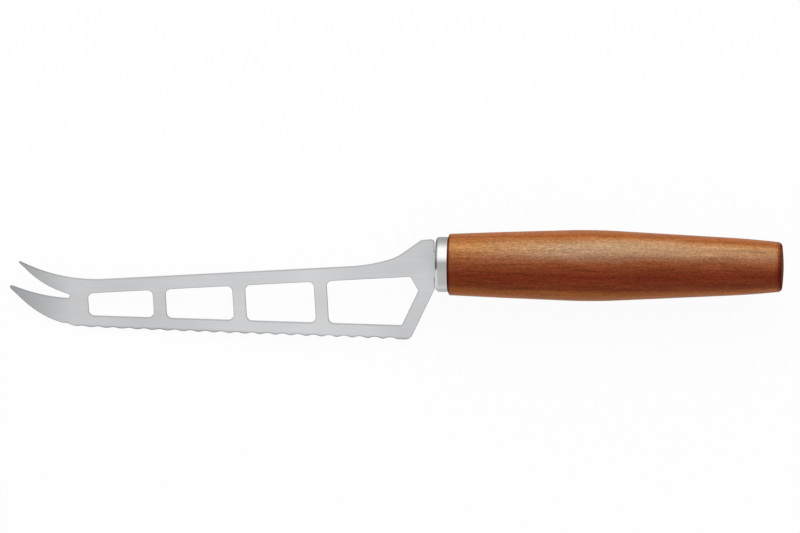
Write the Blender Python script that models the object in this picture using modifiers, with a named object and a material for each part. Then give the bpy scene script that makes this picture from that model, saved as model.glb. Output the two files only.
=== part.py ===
"""Cheese knife with a forked, windowed, scalloped blade, a steel collar and a turned wooden handle.

Every sub-part is drawn in the knife's own frame: x runs along the handle's axis from the front of the collar
towards the butt, y points to the spine and z out of the blade's upper face. The frame is then tipped and rolled
to where the knife comes to rest on a table: on its handle and on the front of its cutting edge. Lengths are in
metres and angles in degrees.
"""

import math

import bmesh
import bpy
from mathutils import Vector

# Clearance between pieces that touch, and the finest detail of a curve
FIT_GAP = 0.0003
CHORD_ERROR = 0.00001

# Blade sheet
BLADE_LENGTH = 0.160
BLADE_THICKNESS = 0.0015
EDGE_BREAK = 0.00015
SPINE_HEIGHT = 0.00085
SPINE_ANGLE = 3.49
EDGE_DEPTH = 0.02951
EDGE_ANGLE = -1.90
EDGE_BOW = 0.0002

# Neck, where the spine flares up to the collar
FLARE_START = 0.0245
FLARE_ANGLE = 17.70
FLARE_RADIUS = 0.060
RAMP_ANGLE = 36.23
RAMP_RADIUS = 0.018
LAND_LENGTH = 0.0053
LAND_HEIGHT = 0.00928
LAND_ANGLE = 5.47
LAND_CORNER = 0.0005
SHOULDER_RADIUS = 0.0013

# Heel
HEEL_HEIGHT = 0.00936
HEEL_LEAN = 25.2
HEEL_RADIUS = 0.0032

# Fork
UPPER_TINE_SETBACK = 0.0035
UPPER_TIP_HEIGHT = -0.0003
UPPER_TIP_RADIUS = 0.00027
UPPER_TINE_ANGLE = -24.26
UPPER_TINE_RADIUS = 0.060
LOWER_TIP_HEIGHT = -0.01002
LOWER_TIP_RADIUS = 0.0006
LOWER_TINE_ANGLE = -20.02
LOWER_TINE_RADIUS = 0.065
BELLY_ANGLE = -43.95
BELLY_RADIUS = 0.036
THROAT_ANGLE = -44.85
THROAT_RADIUS = 0.036
FORK_DEPTH = 0.0225
FORK_ROOT_HEIGHT = -0.01331
FORK_ROOT_RADIUS = 0.00098
FORK_ROOT_UPPER_ANGLE = -18.56
FORK_ROOT_LOWER_ANGLE = -4.76
TINE_TIP_THICKNESS = 0.0009

# Windows through the blade
WINDOW_COUNT = 4
FRONT_WEB = 0.0070
BRIDGE_WIDTH = 0.0048
WINDOW_GROWTH = 0.00075
SPINE_STRIP = 0.0050
EDGE_STRIP_FRONT = 0.00425
EDGE_STRIP_HEEL = 0.00526
HEEL_STRIP = 0.00511
WINDOW_LEAN = 2.8
WINDOW_RADIUS = 0.0021
NOSE_LENGTH = 0.0075
NOSE_DROP = 0.00567
NOSE_SETBACK = 0.0030
NOSE_RADIUS = 0.0008

# Scallops, ground into the edge from the lower face
TOOTH_PITCH = 0.005785
SCALLOP_DEPTH_FRONT = 0.0004
SCALLOP_DEPTH_HEEL = 0.00067
GRIND_ANGLE = 28.0
GRIND_RADIUS = 0.0098
EDGE_PLAIN_HEEL = 0.00233
GRIND_OVERRUN = 0.0104
GRIND_STEPS = 160

# Tang
TANG_LENGTH = 0.060
TANG_WIDTH = 0.0100
TANG_END_WIDTH = 0.0070
TANG_NOTCHES = 3
TANG_NOTCH_RADIUS = 0.0010
TANG_NOTCH_STEPS = 24

# Collar
FERRULE_LENGTH = 0.0046
FERRULE_DIAMETER = 0.0207
FERRULE_FRONT_RADIUS = 0.0018
FERRULE_REAR_RADIUS = 0.0003

# Handle
HANDLE_LENGTH = 0.1258
HANDLE_FRONT_DIAMETER = 0.02305
HANDLE_FRONT_RADIUS = 0.0009
HANDLE_FRONT_ANGLE = 2.4
HANDLE_CONE_PLACE = 0.0191
HANDLE_CONE_RADIUS = 0.800
HANDLE_CONE_ANGLE = 2.0
HANDLE_BELLY_PLACE = 0.05403
HANDLE_BELLY_RADIUS = 0.120
HANDLE_REAR_ANGLE = -2.96
HANDLE_SHOULDER_PLACE = 0.1144
HANDLE_SHOULDER_RADIUS = 0.280
HANDLE_END_ANGLE = -6.3
BUTT_EDGE_RADIUS = 0.0018
BUTT_DOME_RADIUS = 0.060
BUTT_DOME_FLAT = 0.0040
TURNED_STEPS = 72

# Colours as they look in daylight, with roughness and metallic value
STEEL = ((0.55, 0.55, 0.54), 0.34, 1.0)
POLISHED_STEEL = ((0.62, 0.62, 0.61), 0.18, 1.0)
PLUM_WOOD = ((0.30, 0.095, 0.035), 0.42, 0.0)


def direction(angle):
    """The unit vector that points at an angle, in degrees from the x axis."""
    turn = math.radians(angle)
    return Vector((math.cos(turn), math.sin(turn)))


def meet(point_a, angle_a, point_b, angle_b):
    """The point where two lines cross, each given by a point and an angle."""
    along_a = direction(angle_a)
    along_b = direction(angle_b)
    apart = point_b - point_a
    share = (apart.x * along_b.y - apart.y * along_b.x) / (along_a.x * along_b.y - along_a.y * along_b.x)
    return point_a + along_a * share


def fillet(before, corner, after, radius):
    """Points of the arc that rounds a corner, from the side of before to the side of after."""
    to_before = (before - corner).normalized()
    to_after = (after - corner).normalized()
    half_angle = to_before.angle(to_after) / 2
    bisector = (to_before + to_after).normalized()
    centre = corner + bisector * (radius / math.sin(half_angle))
    start = corner + to_before * (radius / math.tan(half_angle)) - centre
    turn = math.pi - 2 * half_angle
    if to_before.x * to_after.y - to_before.y * to_after.x > 0:
        turn = -turn
    step = 2 * math.acos(1 - min(CHORD_ERROR / radius, 1))
    count = max(2, math.ceil(abs(turn) / step))
    points = []
    for index in range(count + 1):
        angle = turn * index / count
        spoke = Vector((
            start.x * math.cos(angle) - start.y * math.sin(angle),
            start.x * math.sin(angle) + start.y * math.cos(angle),
        ))
        points.append(centre + spoke)
    return points


def rounded(corners, closed=True):
    """The outline through corners, each a pair of a point and the radius that rounds it, or None."""
    points = []
    last = len(corners) - 1
    for index, (corner, radius) in enumerate(corners):
        at_end = not closed and index in (0, last)
        if radius is None or at_end:
            points.append(corner)
            continue
        before = corners[index - 1][0]
        after = corners[(index + 1) % len(corners)][0]
        points.extend(fillet(before, corner, after, radius))
    return points


def spine_point(x):
    """The point of the straight spine above x."""
    return Vector((x, SPINE_HEIGHT + x * math.tan(math.radians(SPINE_ANGLE))))


def edge_line_point(x):
    """The point at x of the straight line that the cutting edge is drawn on."""
    return Vector((x, -EDGE_DEPTH + x * math.tan(math.radians(EDGE_ANGLE))))


def heel_corner():
    """The sharp corner where the heel meets the line of the edge."""
    top = Vector((-FIT_GAP, -HEEL_HEIGHT))
    return meet(top, 90 - HEEL_LEAN, edge_line_point(0), EDGE_ANGLE)


def tip_circle(x, y, radius):
    """The centre of the circle that ends a tine whose tip reaches x."""
    return Vector((x + radius, y))


def tangent_point(centre, radius, angle, side):
    """Where a line at an angle touches a circle: side is 1 above it and -1 below it."""
    return centre + direction(angle + 90) * (radius * side)


def lower_tine():
    """The tip's sharp corner and the corner where the belly of the tine runs into the edge."""
    centre = tip_circle(-BLADE_LENGTH, LOWER_TIP_HEIGHT, LOWER_TIP_RADIUS)
    top = tangent_point(centre, LOWER_TIP_RADIUS, LOWER_TINE_ANGLE, 1)
    belly = tangent_point(centre, LOWER_TIP_RADIUS, BELLY_ANGLE, -1)
    tip = meet(top, LOWER_TINE_ANGLE, belly, BELLY_ANGLE)
    belly_corner = meet(belly, BELLY_ANGLE, edge_line_point(0), EDGE_ANGLE)
    return tip, belly_corner


def upper_tine():
    """The tip's sharp corner and the corner where the tine runs into the spine."""
    centre = tip_circle(-BLADE_LENGTH + UPPER_TINE_SETBACK, UPPER_TIP_HEIGHT, UPPER_TIP_RADIUS)
    top = tangent_point(centre, UPPER_TIP_RADIUS, UPPER_TINE_ANGLE, 1)
    throat = tangent_point(centre, UPPER_TIP_RADIUS, THROAT_ANGLE, -1)
    tip = meet(top, UPPER_TINE_ANGLE, throat, THROAT_ANGLE)
    spine_corner = meet(top, UPPER_TINE_ANGLE, spine_point(0), SPINE_ANGLE)
    return tip, spine_corner


def fork_corners():
    """The corners of the fork from the upper tip through the root of the gap to the lower tip."""
    upper_tip, _ = upper_tine()
    lower_tip, _ = lower_tine()
    root = Vector((-BLADE_LENGTH + FORK_DEPTH - FORK_ROOT_RADIUS, FORK_ROOT_HEIGHT))
    upper_side = tangent_point(root, FORK_ROOT_RADIUS, FORK_ROOT_UPPER_ANGLE, 1)
    lower_side = tangent_point(root, FORK_ROOT_RADIUS, FORK_ROOT_LOWER_ANGLE, -1)
    root_corner = meet(upper_side, FORK_ROOT_UPPER_ANGLE, lower_side, FORK_ROOT_LOWER_ANGLE)
    throat_corner = meet(upper_tip, THROAT_ANGLE, upper_side, FORK_ROOT_UPPER_ANGLE)
    tine_corner = meet(lower_tip, LOWER_TINE_ANGLE, lower_side, FORK_ROOT_LOWER_ANGLE)
    return [
        (upper_tip, UPPER_TIP_RADIUS),
        (throat_corner, THROAT_RADIUS),
        (root_corner, FORK_ROOT_RADIUS),
        (tine_corner, LOWER_TINE_RADIUS),
        (lower_tip, LOWER_TIP_RADIUS),
    ]


def neck_corners():
    """The corners from the spine up the flare and the ramp to the land at the collar."""
    flare = spine_point(-FLARE_START)
    land = Vector((-LAND_LENGTH, LAND_HEIGHT))
    ramp = meet(flare, FLARE_ANGLE, land, RAMP_ANGLE)
    shoulder = meet(land, LAND_ANGLE, Vector((-FIT_GAP, 0)), 90)
    return [(shoulder, SHOULDER_RADIUS), (land, LAND_CORNER), (ramp, RAMP_RADIUS), (flare, FLARE_RADIUS)]


def tang_end():
    """How far the tang reaches behind the front of the collar."""
    return FERRULE_LENGTH + TANG_LENGTH


def tang_corners(clearance=0.0):
    """The four corners of the tang, or of the slot round it, from its lower to its upper side."""
    start = -FIT_GAP
    half_start = TANG_WIDTH / 2 + clearance
    half_end = TANG_END_WIDTH / 2 + clearance
    end = tang_end() + clearance
    return [
        (Vector((start, -half_start)), None),
        (Vector((end, -half_end)), TANG_END_WIDTH / 4),
        (Vector((end, half_end)), TANG_END_WIDTH / 4),
        (Vector((start, half_start)), None),
    ]


def edge_span():
    """The ends of the cutting edge between its rounded belly and its rounded heel, as two places on x."""
    belly_corner = lower_tine()[1]
    belly_turn = math.radians(EDGE_ANGLE - BELLY_ANGLE)
    heel_turn = math.radians(90 - HEEL_LEAN - EDGE_ANGLE)
    front = belly_corner.x + BELLY_RADIUS * math.tan(belly_turn / 2)
    rear = heel_corner().x - HEEL_RADIUS * math.tan(heel_turn / 2)
    return front, rear


def edge_point(x):
    """The point of the cutting edge at x: bowed out most at a third of its length, and round at the belly."""
    front, rear = edge_span()
    point = edge_line_point(x)
    if x < front:
        point.y += BELLY_RADIUS - math.sqrt(BELLY_RADIUS ** 2 - (x - front) ** 2)
        return point
    share = (x - front) / (rear - front)
    point.y -= EDGE_BOW * 27 / 4 * share * (1 - share) ** 2
    return point


def edge_points():
    """The bowed stretch of the cutting edge, from the belly to the heel, a point for each tooth."""
    front, rear = edge_span()
    count = max(2, round((rear - front) / TOOTH_PITCH))
    return [edge_point(front + (rear - front) * index / count) for index in range(1, count)]


def blade_outline():
    """The outline of the blade sheet with its tang, anticlockwise seen from above."""
    belly_corner = lower_tine()[1]
    spine_corner = upper_tine()[1]
    on_spine = spine_point(-BLADE_LENGTH / 2)
    on_edge = edge_line_point(-BLADE_LENGTH / 2)
    front = [(on_spine, None), (spine_corner, UPPER_TINE_RADIUS)]
    front.extend(fork_corners())
    front.extend([(belly_corner, BELLY_RADIUS), (on_edge, None)])
    rear = [(on_edge, None), (heel_corner(), HEEL_RADIUS), (Vector((-FIT_GAP, -HEEL_HEIGHT)), None)]
    rear.extend(tang_corners())
    rear.extend(neck_corners())
    rear.append((on_spine, None))
    return rounded(front, closed=False)[1:-1] + edge_points() + rounded(rear, closed=False)[1:-1]


def window_floor_point(x):
    """The point at x of the straight line under the windows."""
    front, rear = edge_span()
    floor_front = edge_point(front).y + EDGE_STRIP_FRONT
    floor_rear = edge_point(rear).y + EDGE_STRIP_HEEL
    return Vector((x, floor_front + (floor_rear - floor_front) * (x - front) / (rear - front)))


def window_floor_angle():
    """The slope of the line under the windows, in degrees."""
    run = window_floor_point(0.0) - window_floor_point(-BLADE_LENGTH)
    return math.degrees(math.atan2(run.y, run.x))


def window_roof_point(x):
    """The point at x of the line above the windows, which runs beside the spine."""
    drop = SPINE_STRIP / math.cos(math.radians(SPINE_ANGLE))
    return spine_point(x) - Vector((0, drop))


def nose_point():
    """The sharp rear end of the last window."""
    inside = Vector((-FIT_GAP, -HEEL_HEIGHT)) - direction(-HEEL_LEAN) * HEEL_STRIP
    roof = window_roof_point(0)
    return meet(inside, 90 - HEEL_LEAN, roof - Vector((0, NOSE_DROP)), SPINE_ANGLE)


def window_spans():
    """The front and rear of each window at mid height, as pairs of places on x."""
    front = -BLADE_LENGTH + FORK_DEPTH + FRONT_WEB
    rear = nose_point().x - NOSE_LENGTH
    growth = WINDOW_GROWTH * WINDOW_COUNT * (WINDOW_COUNT - 1) / 2
    length = (rear - front - BRIDGE_WIDTH * (WINDOW_COUNT - 1) - growth) / WINDOW_COUNT
    spans = []
    for index in range(WINDOW_COUNT):
        spans.append((front, front + length + WINDOW_GROWTH * index))
        front = spans[-1][1] + BRIDGE_WIDTH
    return spans


def window_side(x):
    """The lower and upper corner of a window's leaning side at x."""
    middle = (window_roof_point(x) + window_floor_point(x)) / 2
    lean = 90 + WINDOW_LEAN
    lower = meet(middle, lean, window_floor_point(x), window_floor_angle())
    upper = meet(middle, lean, window_roof_point(x), SPINE_ANGLE)
    return lower, upper


def window_outline(front, rear):
    """A window with four rounded corners, clockwise seen from above."""
    front_lower, front_upper = window_side(front)
    rear_lower, rear_upper = window_side(rear)
    corners = [front_lower, front_upper, rear_upper, rear_lower]
    return rounded([(corner, WINDOW_RADIUS) for corner in corners])


def last_window_outline(front):
    """The last window, whose rear end is a blunt nose beside the heel, clockwise seen from above."""
    front_lower, front_upper = window_side(front)
    nose = nose_point()
    roof = window_roof_point(nose.x - NOSE_SETBACK)
    floor = meet(nose, 90 - HEEL_LEAN, window_floor_point(0), window_floor_angle())
    return rounded([
        (front_lower, WINDOW_RADIUS),
        (front_upper, WINDOW_RADIUS),
        (roof, NOSE_RADIUS),
        (nose, NOSE_RADIUS),
        (floor, NOSE_RADIUS),
    ])


def window_outlines():
    """The outlines of all windows, from the fork to the heel."""
    spans = window_spans()
    outlines = [window_outline(front, rear) for front, rear in spans[:-1]]
    outlines.append(last_window_outline(spans[-1][0]))
    return outlines


def new_collection(name):
    collection = bpy.data.collections.new(name)
    bpy.context.scene.collection.children.link(collection)
    return collection


def new_material(name, look):
    """A plain Principled material with a colour, a roughness and a metallic value."""
    colour, roughness, metallic = look
    material = bpy.data.materials.new(name)
    material.use_nodes = True
    shader = material.node_tree.nodes["Principled BSDF"]
    shader.inputs["Base Color"].default_value = (*colour, 1)
    shader.inputs["Roughness"].default_value = roughness
    shader.inputs["Metallic"].default_value = metallic
    return material


def new_object(name, data, collection, material=None):
    thing = bpy.data.objects.new(name, data)
    collection.objects.link(thing)
    if material:
        data.materials.append(material)
    return thing


def plate_mesh(name, outlines, thickness, edge_break=0.0):
    """A flat sheet with the first outline as its rim and the others as holes, centred on z = 0."""
    curve = bpy.data.curves.new(name, "CURVE")
    curve.dimensions = "2D"
    curve.fill_mode = "BOTH"
    curve.extrude = thickness / 2 - edge_break
    curve.bevel_depth = edge_break
    curve.bevel_resolution = 0
    curve.offset = -edge_break
    for outline in outlines:
        spline = curve.splines.new("POLY")
        spline.points.add(len(outline) - 1)
        for place, point in zip(spline.points, outline):
            place.co = (point.x, point.y, 0, 1)
        spline.use_cyclic_u = True
    drawn = bpy.data.objects.new(name, curve)
    bpy.context.scene.collection.objects.link(drawn)
    evaluated = drawn.evaluated_get(bpy.context.evaluated_depsgraph_get())
    mesh = bpy.data.meshes.new_from_object(evaluated)
    bpy.data.objects.remove(drawn)
    bpy.data.curves.remove(curve)
    form = bmesh.new()
    form.from_mesh(mesh)
    bmesh.ops.remove_doubles(form, verts=form.verts, dist=CHORD_ERROR / 10)
    bmesh.ops.recalc_face_normals(form, faces=form.faces)
    form.to_mesh(mesh)
    form.free()
    mesh.name = name
    return mesh


def thin_the_tines(mesh):
    """Grinds both faces of the fork down evenly from the root of its gap to its tips."""
    start = -BLADE_LENGTH + FORK_DEPTH
    form = bmesh.new()
    form.from_mesh(mesh)
    geometry = form.verts[:] + form.edges[:] + form.faces[:]
    bmesh.ops.bisect_plane(form, geom=geometry, dist=CHORD_ERROR / 10, plane_co=(start, 0, 0), plane_no=(1, 0, 0))
    for vert in form.verts:
        if vert.co.x < start:
            share = (start - vert.co.x) / FORK_DEPTH
            vert.co.z *= 1 + share * (TINE_TIP_THICKNESS / BLADE_THICKNESS - 1)
    form.to_mesh(mesh)
    form.free()


def add_cutter(name, mesh, collection):
    cutter = new_object(name, mesh, collection)
    cutter.hide_render = True
    cutter.display_type = "WIRE"
    return cutter


def rod_mesh(name, radius, length, segments):
    """A round rod along z, centred on the origin."""
    mesh = bpy.data.meshes.new(name)
    form = bmesh.new()
    bmesh.ops.create_cone(form, cap_ends=True, segments=segments, radius1=radius, radius2=radius, depth=length)
    form.to_mesh(mesh)
    form.free()
    return mesh


def scallop_places():
    """The middle of each scallop along the edge, as places on x from the fork to the heel."""
    front, rear = edge_span()
    first = front - GRIND_OVERRUN + TOOTH_PITCH / 2
    last = rear - EDGE_PLAIN_HEEL - TOOTH_PITCH / 2
    count = int((last - first) / TOOTH_PITCH) + 1
    return [last - TOOTH_PITCH * index for index in reversed(range(count))]


def add_scallop_cutters(collection):
    """Rods that lie across the edge like the rim of a grinding wheel, tilted into the lower face."""
    places = scallop_places()
    tilt = math.radians(GRIND_ANGLE)
    reach = BLADE_THICKNESS / math.sin(tilt)
    mesh = rod_mesh("scallop_rod", GRIND_RADIUS, 4 * reach, GRIND_STEPS)
    for index, x in enumerate(places):
        share = index / max(1, len(places) - 1)
        depth = SCALLOP_DEPTH_FRONT + (SCALLOP_DEPTH_HEEL - SCALLOP_DEPTH_FRONT) * share
        rim = edge_point(x)
        slope = (edge_point(x + CHORD_ERROR) - edge_point(x - CHORD_ERROR)).normalized()
        inward = Vector((-slope.y, slope.x, 0))
        crest = Vector((rim.x, rim.y, BLADE_THICKNESS / 2)) + inward * depth
        axis = inward * math.cos(tilt) - Vector((0, 0, math.sin(tilt)))
        outward = -inward * math.sin(tilt) - Vector((0, 0, math.cos(tilt)))
        cutter = add_cutter(f"scallop_{index + 1}", mesh, collection)
        cutter.location = crest + outward * GRIND_RADIUS
        cutter.rotation_mode = "QUATERNION"
        cutter.rotation_quaternion = axis.to_track_quat("Z", "Y")


def add_notch_cutters(collection):
    """Short rods that notch both sides of the tang, to key the glue."""
    mesh = rod_mesh("notch_rod", TANG_NOTCH_RADIUS, 2 * BLADE_THICKNESS, TANG_NOTCH_STEPS)
    for index in range(TANG_NOTCHES):
        share = (index + 1) / (TANG_NOTCHES + 1)
        x = FERRULE_LENGTH + TANG_LENGTH * share
        half_width = TANG_WIDTH / 2 + (TANG_END_WIDTH - TANG_WIDTH) / 2 * (x / tang_end())
        for side in (-1, 1):
            name = f"notch_{index + 1}_{'lower' if side < 0 else 'upper'}"
            cutter = add_cutter(name, mesh, collection)
            cutter.location = (x, side * half_width, 0)


def cut(target, name, collection=None, cutter=None):
    """Takes a cutter, or every cutter in a collection, away from the target."""
    boolean = target.modifiers.new(name, "BOOLEAN")
    boolean.operation = "DIFFERENCE"
    boolean.solver = "EXACT"
    if collection:
        boolean.operand_type = "COLLECTION"
        boolean.collection = collection
    else:
        boolean.object = cutter


def shade_round(mesh):
    """Smooth shading that keeps edges sharper than 30 degrees."""
    mesh.shade_smooth()
    mesh.set_sharp_from_angle(angle=math.radians(30))


def add_turned(name, profile, collection, material):
    """A piece turned round the knife's axis, from a profile of points (place on x, radius) run front to rear."""
    mesh = bpy.data.meshes.new(name)
    points = [(point.y, 0, -point.x) for point in profile]
    mesh.from_pydata(points, [(index, index + 1) for index in range(len(points) - 1)], [])
    turned = new_object(name, mesh, collection, material)
    screw = turned.modifiers.new("turn", "SCREW")
    screw.axis = "Z"
    screw.steps = TURNED_STEPS
    screw.render_steps = TURNED_STEPS
    screw.use_merge_vertices = True
    screw.merge_threshold = CHORD_ERROR / 10
    turned.rotation_euler = (0, math.radians(-90), 0)
    return turned


def add_blade(parts, scallops, notches):
    mesh = plate_mesh("blade", [blade_outline()] + window_outlines(), BLADE_THICKNESS, EDGE_BREAK)
    thin_the_tines(mesh)
    blade = new_object("blade", mesh, parts, new_material("satin_steel", STEEL))
    add_scallop_cutters(scallops)
    add_notch_cutters(notches)
    cut(blade, "scallops", collection=scallops)
    cut(blade, "notches", collection=notches)
    return blade


def add_ferrule(parts, slot):
    """The collar: a turned ring whose slot lets the tang through."""
    radius = FERRULE_DIAMETER / 2
    profile = rounded([
        (Vector((0, 0)), None),
        (Vector((0, radius)), FERRULE_FRONT_RADIUS),
        (Vector((FERRULE_LENGTH, radius)), FERRULE_REAR_RADIUS),
        (Vector((FERRULE_LENGTH, 0)), None),
    ], closed=False)
    ferrule = add_turned("ferrule", profile, parts, new_material("polished_steel", POLISHED_STEEL))
    cut(ferrule, "tang_slot", cutter=slot)
    return ferrule


def handle_rim():
    """The corner between the front face and the side of the handle."""
    return Vector((FERRULE_LENGTH + FIT_GAP, HANDLE_FRONT_DIAMETER / 2))


def cone_start():
    """The corner where the front of the handle runs into the flatter cone that it lies on."""
    rim = handle_rim()
    return meet(rim, HANDLE_FRONT_ANGLE, Vector((rim.x + HANDLE_CONE_PLACE, 0)), 90)


def handle_profile():
    """The side of the handle from the middle of its front face to the middle of its butt."""
    rim = handle_rim()
    start = rim.x
    end = start + HANDLE_LENGTH
    cone = cone_start()
    belly = meet(cone, HANDLE_CONE_ANGLE, Vector((start + HANDLE_BELLY_PLACE, 0)), 90)
    shoulder = meet(belly, HANDLE_REAR_ANGLE, Vector((start + HANDLE_SHOULDER_PLACE, 0)), 90)
    dome_turn = 2 * math.degrees(math.atan(BUTT_DOME_FLAT / BUTT_DOME_RADIUS))
    dome = Vector((end, BUTT_DOME_FLAT))
    butt_edge = meet(shoulder, HANDLE_END_ANGLE, dome, 90 + dome_turn)
    return rounded([
        (Vector((start, 0)), None),
        (rim, HANDLE_FRONT_RADIUS),
        (cone, HANDLE_CONE_RADIUS),
        (belly, HANDLE_BELLY_RADIUS),
        (shoulder, HANDLE_SHOULDER_RADIUS),
        (butt_edge, BUTT_EDGE_RADIUS),
        (dome, BUTT_DOME_RADIUS),
        (Vector((end, 0)), None),
    ], closed=False)


def add_handle(parts, slot):
    handle = add_turned("handle", handle_profile(), parts, new_material("plum_wood", PLUM_WOOD))
    cut(handle, "mortise", cutter=slot)
    return handle


def add_slot_cutter(cutters):
    """The slot for the tang, through the collar and into the wood."""
    corners = tang_corners(FIT_GAP)
    front = Vector((-FERRULE_LENGTH, 0))
    corners[0] = (corners[0][0] + front, None)
    corners[-1] = (corners[-1][0] + front, None)
    mesh = plate_mesh("tang_slot", [rounded(corners)], BLADE_THICKNESS + 2 * FIT_GAP)
    return add_cutter("tang_slot", mesh, cutters)


def rest_angles(blade_points):
    """How the knife lies: its tip down by the handle's cone, and rolled until the blade meets the table."""
    tip_down = math.radians(HANDLE_CONE_ANGLE)
    cone = cone_start()
    roll = math.pi / 2
    for point in blade_points:
        if point.x > 0 or point.y > 0:
            continue
        axis_height = cone.y + (point.x - cone.x) * math.tan(tip_down)
        lift = axis_height / math.hypot(point.y, point.z)
        if lift < 1:
            roll = min(roll, math.asin(lift) + math.atan2(point.z, -point.y))
    return tip_down, roll


def lay_on_table(pieces, cutters):
    """Tips and rolls the knife to its place of rest, centred over the origin with its lowest point at z = 0."""
    blade = pieces[0].evaluated_get(bpy.context.evaluated_depsgraph_get())
    tip_down, roll = rest_angles([vert.co for vert in blade.data.vertices])
    knife = bpy.data.objects.new("knife_frame", None)
    bpy.context.scene.collection.objects.link(knife)
    knife.rotation_euler = (roll, -tip_down, 0)
    for thing in pieces + cutters:
        thing.parent = knife
    depsgraph = bpy.context.evaluated_depsgraph_get()
    depsgraph.update()
    lowest = Vector((math.inf, math.inf, math.inf))
    highest = -lowest
    for piece in pieces:
        evaluated = piece.evaluated_get(depsgraph)
        for vert in evaluated.data.vertices:
            place = evaluated.matrix_world @ vert.co
            lowest = Vector(map(min, lowest, place))
            highest = Vector(map(max, highest, place))
    middle = (lowest + highest) / 2
    knife.location = (-middle.x, -middle.y, -lowest.z)


def build():
    for thing in list(bpy.data.objects):
        bpy.data.objects.remove(thing)
    parts = new_collection("cheese_knife")
    cutters = new_collection("cutters")
    scallops = new_collection("scallop_cutters")
    notches = new_collection("notch_cutters")
    slot = add_slot_cutter(cutters)
    pieces = [add_blade(parts, scallops, notches), add_ferrule(parts, slot), add_handle(parts, slot)]
    for piece in pieces:
        shade_round(piece.data)
    tools = list(cutters.objects) + list(scallops.objects) + list(notches.objects)
    lay_on_table(pieces, tools)


build()
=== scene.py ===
import math

import bmesh
import bpy
from mathutils import Euler, Matrix, Vector


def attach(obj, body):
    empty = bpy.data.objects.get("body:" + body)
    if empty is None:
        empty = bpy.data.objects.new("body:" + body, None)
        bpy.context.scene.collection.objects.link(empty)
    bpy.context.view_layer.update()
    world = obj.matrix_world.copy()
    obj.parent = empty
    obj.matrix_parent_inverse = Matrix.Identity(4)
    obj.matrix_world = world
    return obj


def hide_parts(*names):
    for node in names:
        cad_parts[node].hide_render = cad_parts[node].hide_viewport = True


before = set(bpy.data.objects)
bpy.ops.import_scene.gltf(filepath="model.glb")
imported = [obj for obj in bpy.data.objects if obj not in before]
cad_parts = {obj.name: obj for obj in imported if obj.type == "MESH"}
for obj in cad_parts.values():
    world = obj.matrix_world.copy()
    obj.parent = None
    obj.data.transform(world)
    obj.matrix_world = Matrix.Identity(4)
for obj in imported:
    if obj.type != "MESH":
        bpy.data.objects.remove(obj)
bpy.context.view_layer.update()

# Cheese knife: satin blade, turned collar and turned plum-wood handle, dressed on its solids.
# Lengths are in metres and angles in degrees. The turned pieces and all finishes are drawn in the
# knife's own frame: x runs along the handle's axis from the front of the collar to the butt,
# y points to the spine and z out of the blade's upper face.

# How the knife lies on the table
KNIFE_ROLL = 14.973356
TIP_DOWN = 2.0
COLLAR_PLACE = (0.0145811, 0.0074270, 0.0114805)

# A rounding (ROUND) is a radius and a number of segments.

# Collar
COLLAR_START = 0.0002
COLLAR_END = 0.0049
COLLAR_RADIUS = 0.01035
COLLAR_FRONT_ROUND = (0.0014, 10)
COLLAR_REAR_ROUND = (0.0003, 4)

# Handle, from the rim at its front to the domed butt
HANDLE_START = 0.0050
HANDLE_END = 0.1307
RIM_RADIUS = 0.011525
RIM_ROUND = (0.0009, 8)
FRONT_ANGLE = 2.4
CONE_PLACE = 0.0240
CONE_ROUND = (0.800, 6)
CONE_ANGLE = 2.0
BELLY_PLACE = 0.05893
BELLY_ROUND = (0.190, 14)
REAR_ANGLE = -2.96
SHOULDER_PLACE = 0.1193
SHOULDER_ROUND = (0.280, 10)
END_ANGLE = -6.3
BUTT_ROUND = (0.0018, 10)
DOME_ROUND = (0.060, 6)
DOME_FLAT = 0.0040

# Turning
TURN_STEPS = 160
MERGE_DISTANCE = 1e-7
SHARP_ANGLE = 40.0

# Slot for the tang, with its clearance, cut from ahead of the collar
SLOT_START = -0.0049
SLOT_END = 0.0649
SLOT_FRONT_WIDTH = 0.0106
SLOT_END_WIDTH = 0.0076
SLOT_HEIGHT = 0.0021

# The scale of a grain is how fine it is along the knife, across it and through it, per metre.

# Satin of the blade
BLADE_TIP = -0.160
FORK_ROOT = -0.1375
SHADE_FRONT = -0.14
SHADE_REAR = 0.0
BRUSH_FINE = (70, 5200, 5200)
BRUSH_LONG = (10, 800, 800)
BRUSH_HEIGHT = 0.00001
CLOUD = (26, 40, 40)
PATCH = (110, 120, 120)
CROSS_GRIND = (5200, 160, 160)

# Edges of the blade: painted shade at its edges, and a painted shade line that follows the scallops
EDGE_SHADE_REACH = 0.0006
EDGE_AGREE = (0.985, 0.60)
EDGE_DEPTH = 0.02951
EDGE_SLOPE = 1.90
EDGE_SHADE = 0.0010
FACE_LEAN = (0.96, 0.985)
FACET_LEAN = (0.76, 0.80)

# Turned steel of the collar
TOOL_RINGS = (8000, 50, 50)
TOOL_HEIGHT = 0.000008
SMEAR = (300, 300, 300)
HIGHLIGHT_RISE = (0.53, 0.645)
HIGHLIGHT_FALL = (0.785, 0.885)
PAINTED_HIGHLIGHT = (0.98, 0.98, 0.97)
SHOULDER_LEAN = (-0.55, -0.15)
FRONT_FACE_LEAN = (-0.99, -0.90)
LIP_HIGHLIGHT_LEAN = (0.15, 0.60)
LIP_HIGHLIGHT_SHARE = 0.45
LIP_HIGHLIGHT = (0.92, 0.92, 0.91)

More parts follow.
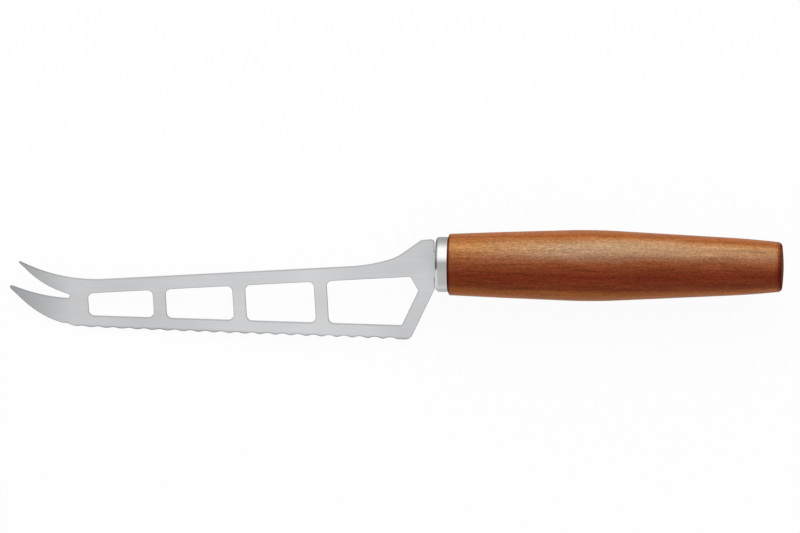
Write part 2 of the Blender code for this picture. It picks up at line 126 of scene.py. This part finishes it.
# Plum wood of the handle
WIDE_WAVER = (9, 60, 60)
WIDE_REACH = 0.14
NARROW_WAVER = (35, 260, 260)
NARROW_REACH = 0.09
LAYERS = (7, 520, 520)
STREAKS = (90, 1300, 1300)
VEINS = (22, 950, 950)
FLECKS = (1250, 2500, 2500)
FIBRES = (600, 4200, 4200)
PORES = (420, 3200, 3200)
RELIEF_HEIGHT = 0.00005
SHEEN_RISE = (0.52, 0.68)
SHEEN_FALL = (0.80, 0.92)
SHEEN_START = (0.010, 0.050)
SHEEN_FADE = (0.070, 0.125)
SHEEN_SHARE = (0.38, 0.14)
SHEEN_TONE = (0.45, 0.385, 0.28)
BUTT_PLACE = (0.1272, 0.1290)
BUTT_SHADE = 0.10
END_FACE_LEAN = (0.94, 0.99)
DULL_LEAN = (0.40, 0.80)
OFF_HEART = (0.0, 0.008, 0.019)
YEAR_RINGS = (("Scale", 170.0), ("Distortion", 3.0), ("Detail", 2.0), ("Detail Scale", 1.5))

# Camera and light
LENS = 1000.0
SENSOR = 36.0
CAMERA_REACH = 100.0
VIEW_WIDTH = 0.30016
VIEW_CENTRE = (0.00127, 0.006531, 0.0080)
VIEW_TILT = 1.0
VIEW_TURN = 0.445
ROOM_LEVEL = 0.74
WHITE_LEVEL = 1.0
LAMP_LEVEL = 2.5
LAMP_WIDTH = 0.90
LAMP_HEIGHT = 0.95
LAMP_DISTANCE = 1.1
LAMP_ANGLE = 52.0
LAMP_ALONG = 0.05
TABLE_REACH = 6.0
TABLE_GLOW = 0.94


def grey(level):
    return (level, level, level)


def knife_matrix():
    """From the knife's own frame to where it lies."""
    turn = Euler((math.radians(KNIFE_ROLL), math.radians(-TIP_DOWN), 0)).to_matrix().to_4x4()
    return Matrix.Translation(COLLAR_PLACE) @ turn


def crossing(point_a, angle_a, point_b, angle_b):
    """Where two lines of a profile meet."""
    a = Vector((math.cos(math.radians(angle_a)), math.sin(math.radians(angle_a))))
    b = Vector((math.cos(math.radians(angle_b)), math.sin(math.radians(angle_b))))
    apart = point_b - point_a
    return point_a + a * ((apart.x * b.y - apart.y * b.x) / (a.x * b.y - a.y * b.x))


def side_in_order(form):
    """The vertices of an open profile, from its front end on the axis to its rear end."""
    ends = (vert for vert in form.verts if len(vert.link_edges) == 1)
    vert = min(ends, key=lambda end: end.co.x)
    side = [vert]
    edge = None
    while True:
        onward = [link for link in vert.link_edges if link is not edge]
        if not onward:
            return side
        edge = onward[0]
        vert = edge.other_vert(vert)
        side.append(vert)


def turned(start, corners, end):
    """A piece spun round the knife's axis from the corners of its side, each with its rounding."""
    form = bmesh.new()
    places = [Vector((start, 0)), *(place for place, _ in corners), Vector((end, 0))]
    side = [form.verts.new((place.x, place.y, 0)) for place in places]
    for pair in zip(side, side[1:]):
        form.edges.new(pair)
    for index in reversed(range(len(corners))):
        radius, segments = corners[index][1]
        before, corner, after = side[index:index + 3]
        back = (before.co - corner.co).normalized()
        onward = (after.co - corner.co).normalized()
        bmesh.ops.bevel(form, geom=[corner], offset=radius / math.tan(back.angle(onward) / 2),
                        offset_type="OFFSET", affect="VERTICES", segments=segments, profile=0.5,
                        material=-1)
        side = side_in_order(form)
    bmesh.ops.spin(form, geom=form.verts[:] + form.edges[:], axis=(1, 0, 0), cent=(0, 0, 0),
                   steps=TURN_STEPS, angle=math.radians(360), use_merge=True)
    bmesh.ops.remove_doubles(form, verts=form.verts, dist=MERGE_DISTANCE)
    bmesh.ops.recalc_face_normals(form, faces=form.faces)
    return form


def new_object(name, form):
    mesh = bpy.data.meshes.new(name)
    form.to_mesh(mesh)
    form.free()
    thing = bpy.data.objects.new(name, mesh)
    bpy.context.scene.collection.objects.link(thing)
    return thing


def pierced(name, form):
    """The turned piece with the slot of the tang cut through it."""
    whole = new_object(name + "_whole", form)
    slot = bmesh.new()
    bmesh.ops.create_cube(slot, size=1)
    for vert in slot.verts:
        rear = vert.co.x > 0
        vert.co.x = SLOT_END if rear else SLOT_START
        vert.co.y *= SLOT_END_WIDTH if rear else SLOT_FRONT_WIDTH
        vert.co.z *= SLOT_HEIGHT
    cutter = new_object(name + "_slot", slot)
    boolean = whole.modifiers.new("slot", "BOOLEAN")
    boolean.operation = "DIFFERENCE"
    boolean.solver = "EXACT"
    boolean.object = cutter
    cut = bmesh.new()
    cut.from_object(whole, bpy.context.evaluated_depsgraph_get())
    for spare in (whole, cutter):
        mesh = spare.data
        bpy.data.objects.remove(spare)
        bpy.data.meshes.remove(mesh)
    return cut


def lay(name, form, material, node):
    """Lays a finished piece where the knife lies, and lets it stand for its solid."""
    form.transform(knife_matrix())
    piece = new_object(name, form)
    piece.data.shade_smooth()
    piece.data.set_sharp_from_angle(angle=math.radians(SHARP_ANGLE))
    piece.data.materials.append(material)
    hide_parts(node)
    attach(piece, "root")


class Nodes:
    """The nodes of a material or of the room, with short helpers to add and join them."""

    def __init__(self, owner, shader="Principled BSDF"):
        owner.use_nodes = True
        self.owner = owner
        self.tree = owner.node_tree
        self.shader = self.tree.nodes[shader]

    def add(self, kind, **settings):
        node = self.tree.nodes.new(kind)
        for key, value in settings.items():
            setattr(node, key, value)
        return node

    def feed(self, socket, value):
        """Joins a node's output to a socket, or sets a plain number or colour on it."""
        if isinstance(value, bpy.types.NodeSocket):
            self.tree.links.new(value, socket)
        elif isinstance(value, tuple) and len(value) == 3 and socket.type == "RGBA":
            socket.default_value = (*value, 1)
        else:
            socket.default_value = value

    def set(self, **sockets):
        """Feeds the shader's sockets, named with underscores for their spaces."""
        for name, value in sockets.items():
            self.feed(self.shader.inputs[name.replace("_", " ")], value)
        return self.owner

    def math(self, operation, a, b=0.0, c=0.0):
        node = self.add("ShaderNodeMath", operation=operation)
        for socket, value in zip(node.inputs, (a, b, c)):
            self.feed(socket, value)
        return node.outputs["Value"]

    def both(self, a, b):
        """The product of two shares."""
        return self.math("MULTIPLY", a, b)

    def blend(self, a, b, share):
        """A share of one value and the rest of the other."""
        return self.math("MULTIPLY_ADD", a, share, self.math("MULTIPLY", b, 1 - share))

    def span(self, value, low, high, to_low=0.0, to_high=1.0):
        """Carries the range from low to high over to the other range, and holds it there."""
        node = self.add("ShaderNodeMapRange", clamp=True)
        limits = {"From Min": low, "From Max": high, "To Min": to_low, "To Max": to_high}
        for name, number in limits.items():
            node.inputs[name].default_value = number
        self.feed(node.inputs["Value"], value)
        return node.outputs["Result"]

    def band(self, value, rise, fall):
        """1 between the rise and the fall, and 0 on either side of them."""
        return self.both(self.span(value, *rise), self.span(value, *fall, 1.0, 0.0))

    def split(self, vector):
        node = self.add("ShaderNodeSeparateXYZ")
        self.feed(node.inputs["Vector"], vector)
        return node.outputs["X"], node.outputs["Y"], node.outputs["Z"]

    def own_place(self):
        """Object coordinates turned back into the knife's own frame."""
        back = knife_matrix().inverted()
        mapping = self.add("ShaderNodeMapping", vector_type="POINT")
        mapping.inputs["Location"].default_value = back.translation
        mapping.inputs["Rotation"].default_value = back.to_euler()
        self.feed(mapping.inputs["Vector"], self.add("ShaderNodeTexCoord").outputs["Object"])
        return mapping.outputs["Vector"]

    def own_normal(self, which="Normal"):
        """The surface's direction in the knife's own frame, as three values."""
        mapping = self.add("ShaderNodeMapping", vector_type="VECTOR")
        mapping.inputs["Rotation"].default_value = knife_matrix().inverted().to_euler()
        self.feed(mapping.inputs["Vector"], self.add("ShaderNodeNewGeometry").outputs[which])
        return self.split(mapping.outputs["Vector"])

    def around(self, own):
        """0 on the edge's side of a turned piece, 0.5 in its middle and 1 on the spine's side."""
        _, y, z = self.split(own)
        roll = math.radians(KNIFE_ROLL)
        square = self.math("MULTIPLY_ADD", y, y, self.math("MULTIPLY", z, z))
        radius = self.math("SQRT", square)
        lowered = self.math("MULTIPLY", z, -math.sin(roll))
        across = self.math("MULTIPLY_ADD", y, math.cos(roll), lowered)
        return self.math("MULTIPLY_ADD", self.math("DIVIDE", across, radius), 0.5, 0.5)

    def edge_mask(self, radius, samples=6):
        """0 on open faces, rising to 1 at the edges of the piece."""
        rounded = self.add("ShaderNodeBevel", samples=samples)
        rounded.inputs["Radius"].default_value = radius
        agree = self.add("ShaderNodeVectorMath", operation="DOT_PRODUCT")
        self.feed(agree.inputs[0], rounded.outputs["Normal"])
        self.feed(agree.inputs[1], self.add("ShaderNodeNewGeometry").outputs["True Normal"])
        return self.span(agree.outputs["Value"], *EDGE_AGREE)

    def grain(self, vector, scale, detail=2.0, roughness=0.5):
        """Noise drawn out along the axes of the given scales."""
        mapping = self.add("ShaderNodeMapping", vector_type="POINT")
        mapping.inputs["Scale"].default_value = scale
        self.feed(mapping.inputs["Vector"], vector)
        node = self.add("ShaderNodeTexNoise")
        node.inputs["Scale"].default_value = 1.0
        node.inputs["Detail"].default_value = detail
        node.inputs["Roughness"].default_value = roughness
        self.feed(node.inputs["Vector"], mapping.outputs["Vector"])
        return node.outputs["Fac"]

    def waver(self, vector, scale, reach):
        """Noise centred on nothing, to bend a pattern by."""
        return self.math("MULTIPLY_ADD", self.grain(vector, scale), reach, -reach / 2)

    def ramp(self, value, stops):
        node = self.add("ShaderNodeValToRGB")
        elements = node.color_ramp.elements
        while len(elements) < len(stops):
            elements.new(0.5)
        for element, (position, colour) in zip(elements, stops):
            element.position = position
            element.color = (*colour, 1)
        self.feed(node.inputs["Fac"], value)
        return node.outputs["Color"]

    def mix(self, share, a, b, blend="MIX"):
        node = self.add("ShaderNodeMix", data_type="RGBA", blend_type=blend)
        self.feed(node.inputs[0], share)
        self.feed(node.inputs[6], a)
        self.feed(node.inputs[7], b)
        return node.outputs[2]

    def shaded(self, colour, shade):
        """The colour multiplied by another."""
        return self.mix(1.0, colour, shade, "MULTIPLY")

    def tint(self, colour, value, dark, light, low=0.3, high=0.7):
        """The colour multiplied by a tone that runs from dark to light with the value."""
        return self.shaded(colour, self.ramp(value, [(low, dark), (high, light)]))

    def faded(self, colour, share, tone):
        """The colour multiplied by the tone where the share is 1, and left alone where it is 0."""
        return self.tint(colour, share, grey(1), tone, 0.0, 1.0)

    def bump(self, height, distance, strength):
        node = self.add("ShaderNodeBump")
        node.inputs["Distance"].default_value = distance
        node.inputs["Strength"].default_value = strength
        self.feed(node.inputs["Height"], height)
        return node.outputs["Normal"]


def satin_steel():
    """Stainless sheet brushed lengthwise: bright satin faces, duller cut edges, ground scallops,
    with painted light and shade along the blade and painted shade at its edges and tines.
    """
    finish = Nodes(bpy.data.materials.new("satin_steel"))
    own = finish.own_place()
    x, y, _ = finish.split(own)
    _, side, up = finish.own_normal("True Normal")
    fine = finish.grain(own, BRUSH_FINE, detail=3.0, roughness=0.6)
    brushing = finish.blend(fine, finish.grain(own, BRUSH_LONG), 0.6)
    cloud = finish.grain(own, CLOUD)
    patch = finish.grain(own, PATCH)

    # The flat faces, with painted light and shade along their length, painted shade at their edges
    # and a painted shade line along the scallops
    face = finish.ramp(brushing, [
        (0.30, (0.562, 0.567, 0.580)),
        (0.70, (0.624, 0.629, 0.642)),
    ])
    face = finish.tint(face, cloud, grey(0.93), grey(1.07))
    # Painted light and shade along the blade's length.
    face = finish.shaded(face, finish.ramp(finish.span(x, SHADE_FRONT, SHADE_REAR), [
        (0.00, grey(0.94)),
        (0.30, grey(0.97)),
        (0.65, grey(1.09)),
        (0.90, grey(0.97)),
    ]))
    # Painted shade: a dark line along the scallops.
    off_edge = finish.math("MULTIPLY_ADD", x, math.tan(math.radians(EDGE_SLOPE)), y)
    scallop_shade = finish.span(off_edge, -EDGE_DEPTH, EDGE_SHADE - EDGE_DEPTH, 1.0, 0.0)
    scallop_shade = finish.both(scallop_shade, finish.span(patch, 0.35, 0.65, 0.70, 1.0))
    face = finish.faded(face, scallop_shade, grey(0.56))
    # Painted shade at all the edges of the blade.
    painted_edge_shade = finish.both(finish.edge_mask(EDGE_SHADE_REACH), finish.span(patch, 0.35, 0.65, 0.55, 1.0))
    face = finish.faded(face, painted_edge_shade, grey(0.45))

    # The ground facets of the scallops, and the cut walls of the outline and the windows: duller
    # steel, with painted shade on the walls that face the edge's side
    cross = finish.grain(own, CROSS_GRIND, roughness=0.6)
    ground = finish.ramp(cross, [(0.30, (0.34, 0.345, 0.35)), (0.70, (0.50, 0.505, 0.51))])
    ground = finish.tint(ground, patch, grey(0.82), grey(1.14), 0.35, 0.65)
    sheared_and_shaded = finish.ramp(finish.span(side, -0.7, 0.9), [
        (0.00, (0.13, 0.13, 0.135)),
        (1.00, (0.52, 0.52, 0.525)),
    ])
    upright = finish.math("ABSOLUTE", up)
    flat = finish.span(upright, *FACE_LEAN)
    edge = finish.mix(finish.span(upright, *FACET_LEAN), sheared_and_shaded, ground)

    # Painted shade: the tines darken towards their tips.
    painted_tine_shade = finish.span(x, BLADE_TIP, FORK_ROOT)
    colour = finish.tint(finish.mix(flat, edge, face), painted_tine_shade, grey(0.58), grey(1), 0.0, 1.0)
    ground_rough = finish.span(cross, 0.3, 0.7, 0.42, 0.55)
    face_rough = finish.span(brushing, 0.25, 0.75, 0.30, 0.40)
    return finish.set(Base_Color=colour, Metallic=1.0,
                      Roughness=finish.mix(flat, ground_rough, face_rough),
                      Normal=finish.bump(brushing, BRUSH_HEIGHT, 0.3))


def turned_steel():
    """The collar's stainless steel, turned and polished, with faint rings from the tool, painted
    reflections, a painted highlight and painted shade.
    """
    finish = Nodes(bpy.data.materials.new("turned_steel"))
    own = finish.own_place()
    front, _, _ = finish.own_normal()
    rings = finish.grain(own, TOOL_RINGS)
    smear = finish.grain(own, SMEAR)
    around = finish.around(own)
    # Painted reflections and shade round the collar, from the edge's side to the spine's side.
    tone = finish.ramp(around, [
        (0.02, grey(0.38)),
        (0.08, grey(0.56)),
        (0.16, (0.45, 0.45, 0.445)),
        (0.32, (0.445, 0.445, 0.44)),
        (0.45, (0.38, 0.38, 0.375)),
        (0.88, (0.48, 0.48, 0.475)),
        (0.95, grey(0.34)),
        (0.99, grey(0.22)),
    ])

    # The painted highlight along the collar's upper side
    tone = finish.mix(finish.band(around, HIGHLIGHT_RISE, HIGHLIGHT_FALL), tone, PAINTED_HIGHLIGHT)
    tone = finish.tint(tone, rings, grey(0.95), grey(1.12))

    # Painted light and shade on the rounded shoulder at the front, and a painted highlight on the
    # pale lip at the wood
    shade = finish.ramp(around, [
        (0.38, grey(1.55)),
        (0.44, grey(0.28)),
        (0.85, grey(0.26)),
        (0.94, grey(0.42)),
    ])
    shoulder = finish.span(front, *SHOULDER_LEAN, 1.0, 0.0)
    shoulder = finish.both(shoulder, finish.span(front, *FRONT_FACE_LEAN))
    tone = finish.mix(shoulder, tone, finish.shaded(tone, shade))
    # Painted highlight on the lip at the wood.
    tone = finish.mix(finish.span(front, *LIP_HIGHLIGHT_LEAN, 0.0, LIP_HIGHLIGHT_SHARE), tone, LIP_HIGHLIGHT)
    return finish.set(Base_Color=tone, Metallic=1.0,
                      Roughness=finish.span(smear, 0.3, 0.7, 0.28, 0.34),
                      Normal=finish.bump(rings, TOOL_HEIGHT, 0.3))


def plum_wood():
    """Turned, oiled plum wood: pale and red-brown layers, partly painted light and shade, with fine
    fibres, flecks and pores, a painted sheen along the upper side and painted shade at the rim and
    the butt.
    """
    finish = Nodes(bpy.data.materials.new("plum_wood"))
    own = finish.own_place()
    x, _, _ = finish.split(own)
    front, _, _ = finish.own_normal()
    facing_end = finish.math("ABSOLUTE", front)

    # The figure: broad bands of colour along the handle, bent a little, partly the wood's own
    # layers and partly painted light and shade
    around = finish.around(own)
    around = finish.math("ADD", around, finish.waver(own, WIDE_WAVER, WIDE_REACH))
    around = finish.math("ADD", around, finish.waver(own, NARROW_WAVER, NARROW_REACH))
    colour = finish.ramp(around, [
        (0.07, (0.334, 0.097, 0.017)),
        (0.155, (0.192, 0.039, 0.012)),
        (0.325, (0.171, 0.025, 0.0085)),
        (0.49, (0.230, 0.057, 0.020)),
        (0.605, (0.298, 0.096, 0.0345)),
        (0.735, (0.412, 0.180, 0.065)),
        (0.83, (0.463, 0.206, 0.069)),
        (0.94, (0.316, 0.092, 0.019)),
    ])
    colour = finish.tint(colour, finish.grain(own, LAYERS, detail=3.0, roughness=0.55),
                         (0.86, 0.82, 0.78), (1.14, 1.18, 1.22))
    colour = finish.tint(colour, finish.grain(own, STREAKS), (0.87, 0.84, 0.81), (1.13, 1.16, 1.19))
    colour = finish.tint(colour, finish.grain(own, VEINS), (0.72, 0.64, 0.58), grey(1), 0.29, 0.37)

    # The painted sheen along the upper side, strongest over the belly
    painted_sheen = finish.band(around, SHEEN_RISE, SHEEN_FALL)
    painted_sheen = finish.both(painted_sheen, finish.span(x, *SHEEN_START))
    painted_sheen = finish.both(painted_sheen, finish.span(x, *SHEEN_FADE, *SHEEN_SHARE))
    colour = finish.mix(painted_sheen, colour, SHEEN_TONE)

    # The fine grain
    flecks = finish.grain(own, FLECKS, roughness=0.6)
    fibres = finish.grain(own, FIBRES, detail=3.0, roughness=0.65)
    pores = finish.grain(own, PORES, detail=0.0)
    colour = finish.tint(colour, flecks, (0.72, 0.68, 0.63), (1.28, 1.32, 1.37))
    colour = finish.tint(colour, fibres, (0.78, 0.74, 0.70), (1.22, 1.26, 1.30))
    colour = finish.tint(colour, pores, (0.78, 0.72, 0.66), grey(1), 0.28, 0.36)

    # End grain and painted shade: the roundings at the rim and the butt darker, partly as end grain
    # and partly as painted shade, and growth rings on the end faces
    end = finish.math("ADD", facing_end, finish.span(x, *BUTT_PLACE, 0.0, BUTT_SHADE))
    colour = finish.shaded(colour, finish.ramp(end, [
        (0.12, grey(1)),
        (0.30, (0.70, 0.50, 0.46)),
        (0.60, (0.50, 0.24, 0.20)),
        (0.85, (0.38, 0.17, 0.14)),
    ]))
    rings = finish.add("ShaderNodeTexWave", wave_type="RINGS", rings_direction="X")
    for name, number in YEAR_RINGS:
        rings.inputs[name].default_value = number
    off_heart = finish.add("ShaderNodeVectorMath", operation="ADD")
    off_heart.inputs[1].default_value = OFF_HEART
    finish.feed(off_heart.inputs[0], own)
    finish.feed(rings.inputs["Vector"], off_heart.outputs["Vector"])
    sawn = finish.ramp(rings.outputs["Fac"], [
        (0.10, (0.105, 0.028, 0.012)),
        (0.90, (0.150, 0.046, 0.019)),
    ])
    sawn = finish.tint(sawn, fibres, (0.80, 0.78, 0.75), (1.20, 1.22, 1.25))
    colour = finish.mix(finish.span(facing_end, *END_FACE_LEAN), colour, sawn)

    dull = finish.span(facing_end, *DULL_LEAN)
    roughness = finish.math("MAXIMUM", finish.span(fibres, 0.3, 0.7, 0.34, 0.46), dull)
    relief = finish.blend(fibres, pores, 0.6)
    return finish.set(Base_Color=colour, Roughness=roughness, Specular_IOR_Level=0.07,
                      Specular_Tint=(1.0, 0.80, 0.52),
                      Normal=finish.bump(relief, RELIEF_HEIGHT, 0.5))


def dress_blade():
    """The blade keeps its solid and gets its satin."""
    steel = satin_steel()
    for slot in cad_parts["blade"].material_slots:
        slot.material = steel


def make_collar():
    corners = [
        (Vector((COLLAR_START, COLLAR_RADIUS)), COLLAR_FRONT_ROUND),
        (Vector((COLLAR_END, COLLAR_RADIUS)), COLLAR_REAR_ROUND),
    ]
    form = pierced("collar", turned(COLLAR_START, corners, COLLAR_END))
    lay("collar", form, turned_steel(), "ferrule")


def make_handle():
    rim = Vector((HANDLE_START, RIM_RADIUS))
    cone = crossing(rim, FRONT_ANGLE, Vector((CONE_PLACE, 0)), 90)
    belly = crossing(cone, CONE_ANGLE, Vector((BELLY_PLACE, 0)), 90)
    shoulder = crossing(belly, REAR_ANGLE, Vector((SHOULDER_PLACE, 0)), 90)
    dome = Vector((HANDLE_END, DOME_FLAT))
    dome_turn = 2 * math.degrees(math.atan(DOME_FLAT / DOME_ROUND[0]))
    butt = crossing(shoulder, END_ANGLE, dome, 90 + dome_turn)
    corners = [
        (rim, RIM_ROUND),
        (cone, CONE_ROUND),
        (belly, BELLY_ROUND),
        (shoulder, SHOULDER_ROUND),
        (butt, BUTT_ROUND),
        (dome, DOME_ROUND),
    ]
    form = pierced("turned_handle", turned(HANDLE_START, corners, HANDLE_END))
    lay("turned_handle", form, plum_wood(), "handle")


def seen(nodes):
    """1 for a ray from the camera, a mirror-like surface or glass, and 0 where it only lights."""
    rays = nodes.add("ShaderNodeLightPath")
    straight = nodes.math("MAXIMUM", rays.outputs["Is Camera Ray"], rays.outputs["Is Glossy Ray"])
    return nodes.math("MAXIMUM", straight, rays.outputs["Is Transmission Ray"])


def white_table():
    """White where it is seen or mirrored, with the knife's soft shadow left on it."""
    finish = Nodes(bpy.data.materials.new("white_table"))
    finish.set(Base_Color=grey(0.86), Roughness=1.0, Specular_IOR_Level=0.0)
    glow = finish.add("ShaderNodeEmission")
    glow.inputs["Strength"].default_value = WHITE_LEVEL
    mixer = finish.add("ShaderNodeMixShader")
    finish.feed(mixer.inputs["Fac"], finish.math("MULTIPLY", seen(finish), TABLE_GLOW))
    finish.feed(mixer.inputs[1], finish.shader.outputs["BSDF"])
    finish.feed(mixer.inputs[2], glow.outputs["Emission"])
    surface = finish.tree.nodes["Material Output"].inputs["Surface"]
    finish.feed(surface, mixer.outputs["Shader"])
    return finish.owner


def make_table():
    form = bmesh.new()
    bmesh.ops.create_grid(form, x_segments=1, y_segments=1, size=TABLE_REACH)
    table = new_object("table", form)
    table.data.materials.append(white_table())


def make_room():
    """A plain white room: white where it is seen or mirrored, and an even soft light elsewhere."""
    room = Nodes(bpy.data.worlds.new("white_room"), "Background")
    strength = room.span(seen(room), 0.0, 1.0, ROOM_LEVEL, WHITE_LEVEL)
    bpy.context.scene.world = room.set(Color=grey(1), Strength=strength)


def make_lamp():
    """One broad softbox behind the knife. Mirrored surfaces show the plain room instead of it."""
    lamp = bpy.data.lights.new("softbox", "AREA")
    lamp.shape = "RECTANGLE"
    lamp.size = LAMP_WIDTH
    lamp.size_y = LAMP_HEIGHT
    lamp.energy = LAMP_LEVEL * math.pi * LAMP_WIDTH * LAMP_HEIGHT
    box = bpy.data.objects.new("softbox", lamp)
    bpy.context.scene.collection.objects.link(box)
    angle = math.radians(LAMP_ANGLE)
    back = math.sin(angle) * LAMP_DISTANCE
    height = math.cos(angle) * LAMP_DISTANCE
    box.location = (LAMP_ALONG, back, height)
    box.rotation_euler = (-angle, 0, 0)
    box.visible_glossy = False


def make_camera():
    """The photograph's view: from above and far off, with almost no perspective."""
    camera = bpy.data.cameras.new("camera")
    camera.sensor_width = SENSOR
    camera.lens = LENS
    camera.clip_end = CAMERA_REACH
    eye = bpy.data.objects.new("camera", camera)
    bpy.context.scene.collection.objects.link(eye)
    tilt = math.radians(VIEW_TILT)
    distance = LENS * VIEW_WIDTH / SENSOR
    eye.location = Vector(VIEW_CENTRE) + Vector((math.sin(tilt), 0, math.cos(tilt))) * distance
    turn = Matrix.Rotation(tilt, 3, "Y") @ Matrix.Rotation(math.radians(VIEW_TURN), 3, "Z")
    eye.rotation_euler = turn.to_euler()
    bpy.context.scene.camera = eye


dress_blade()
make_collar()
make_handle()
make_table()
make_room()
make_lamp()
make_camera()
bpy.context.scene.view_settings.view_transform = "Standard"
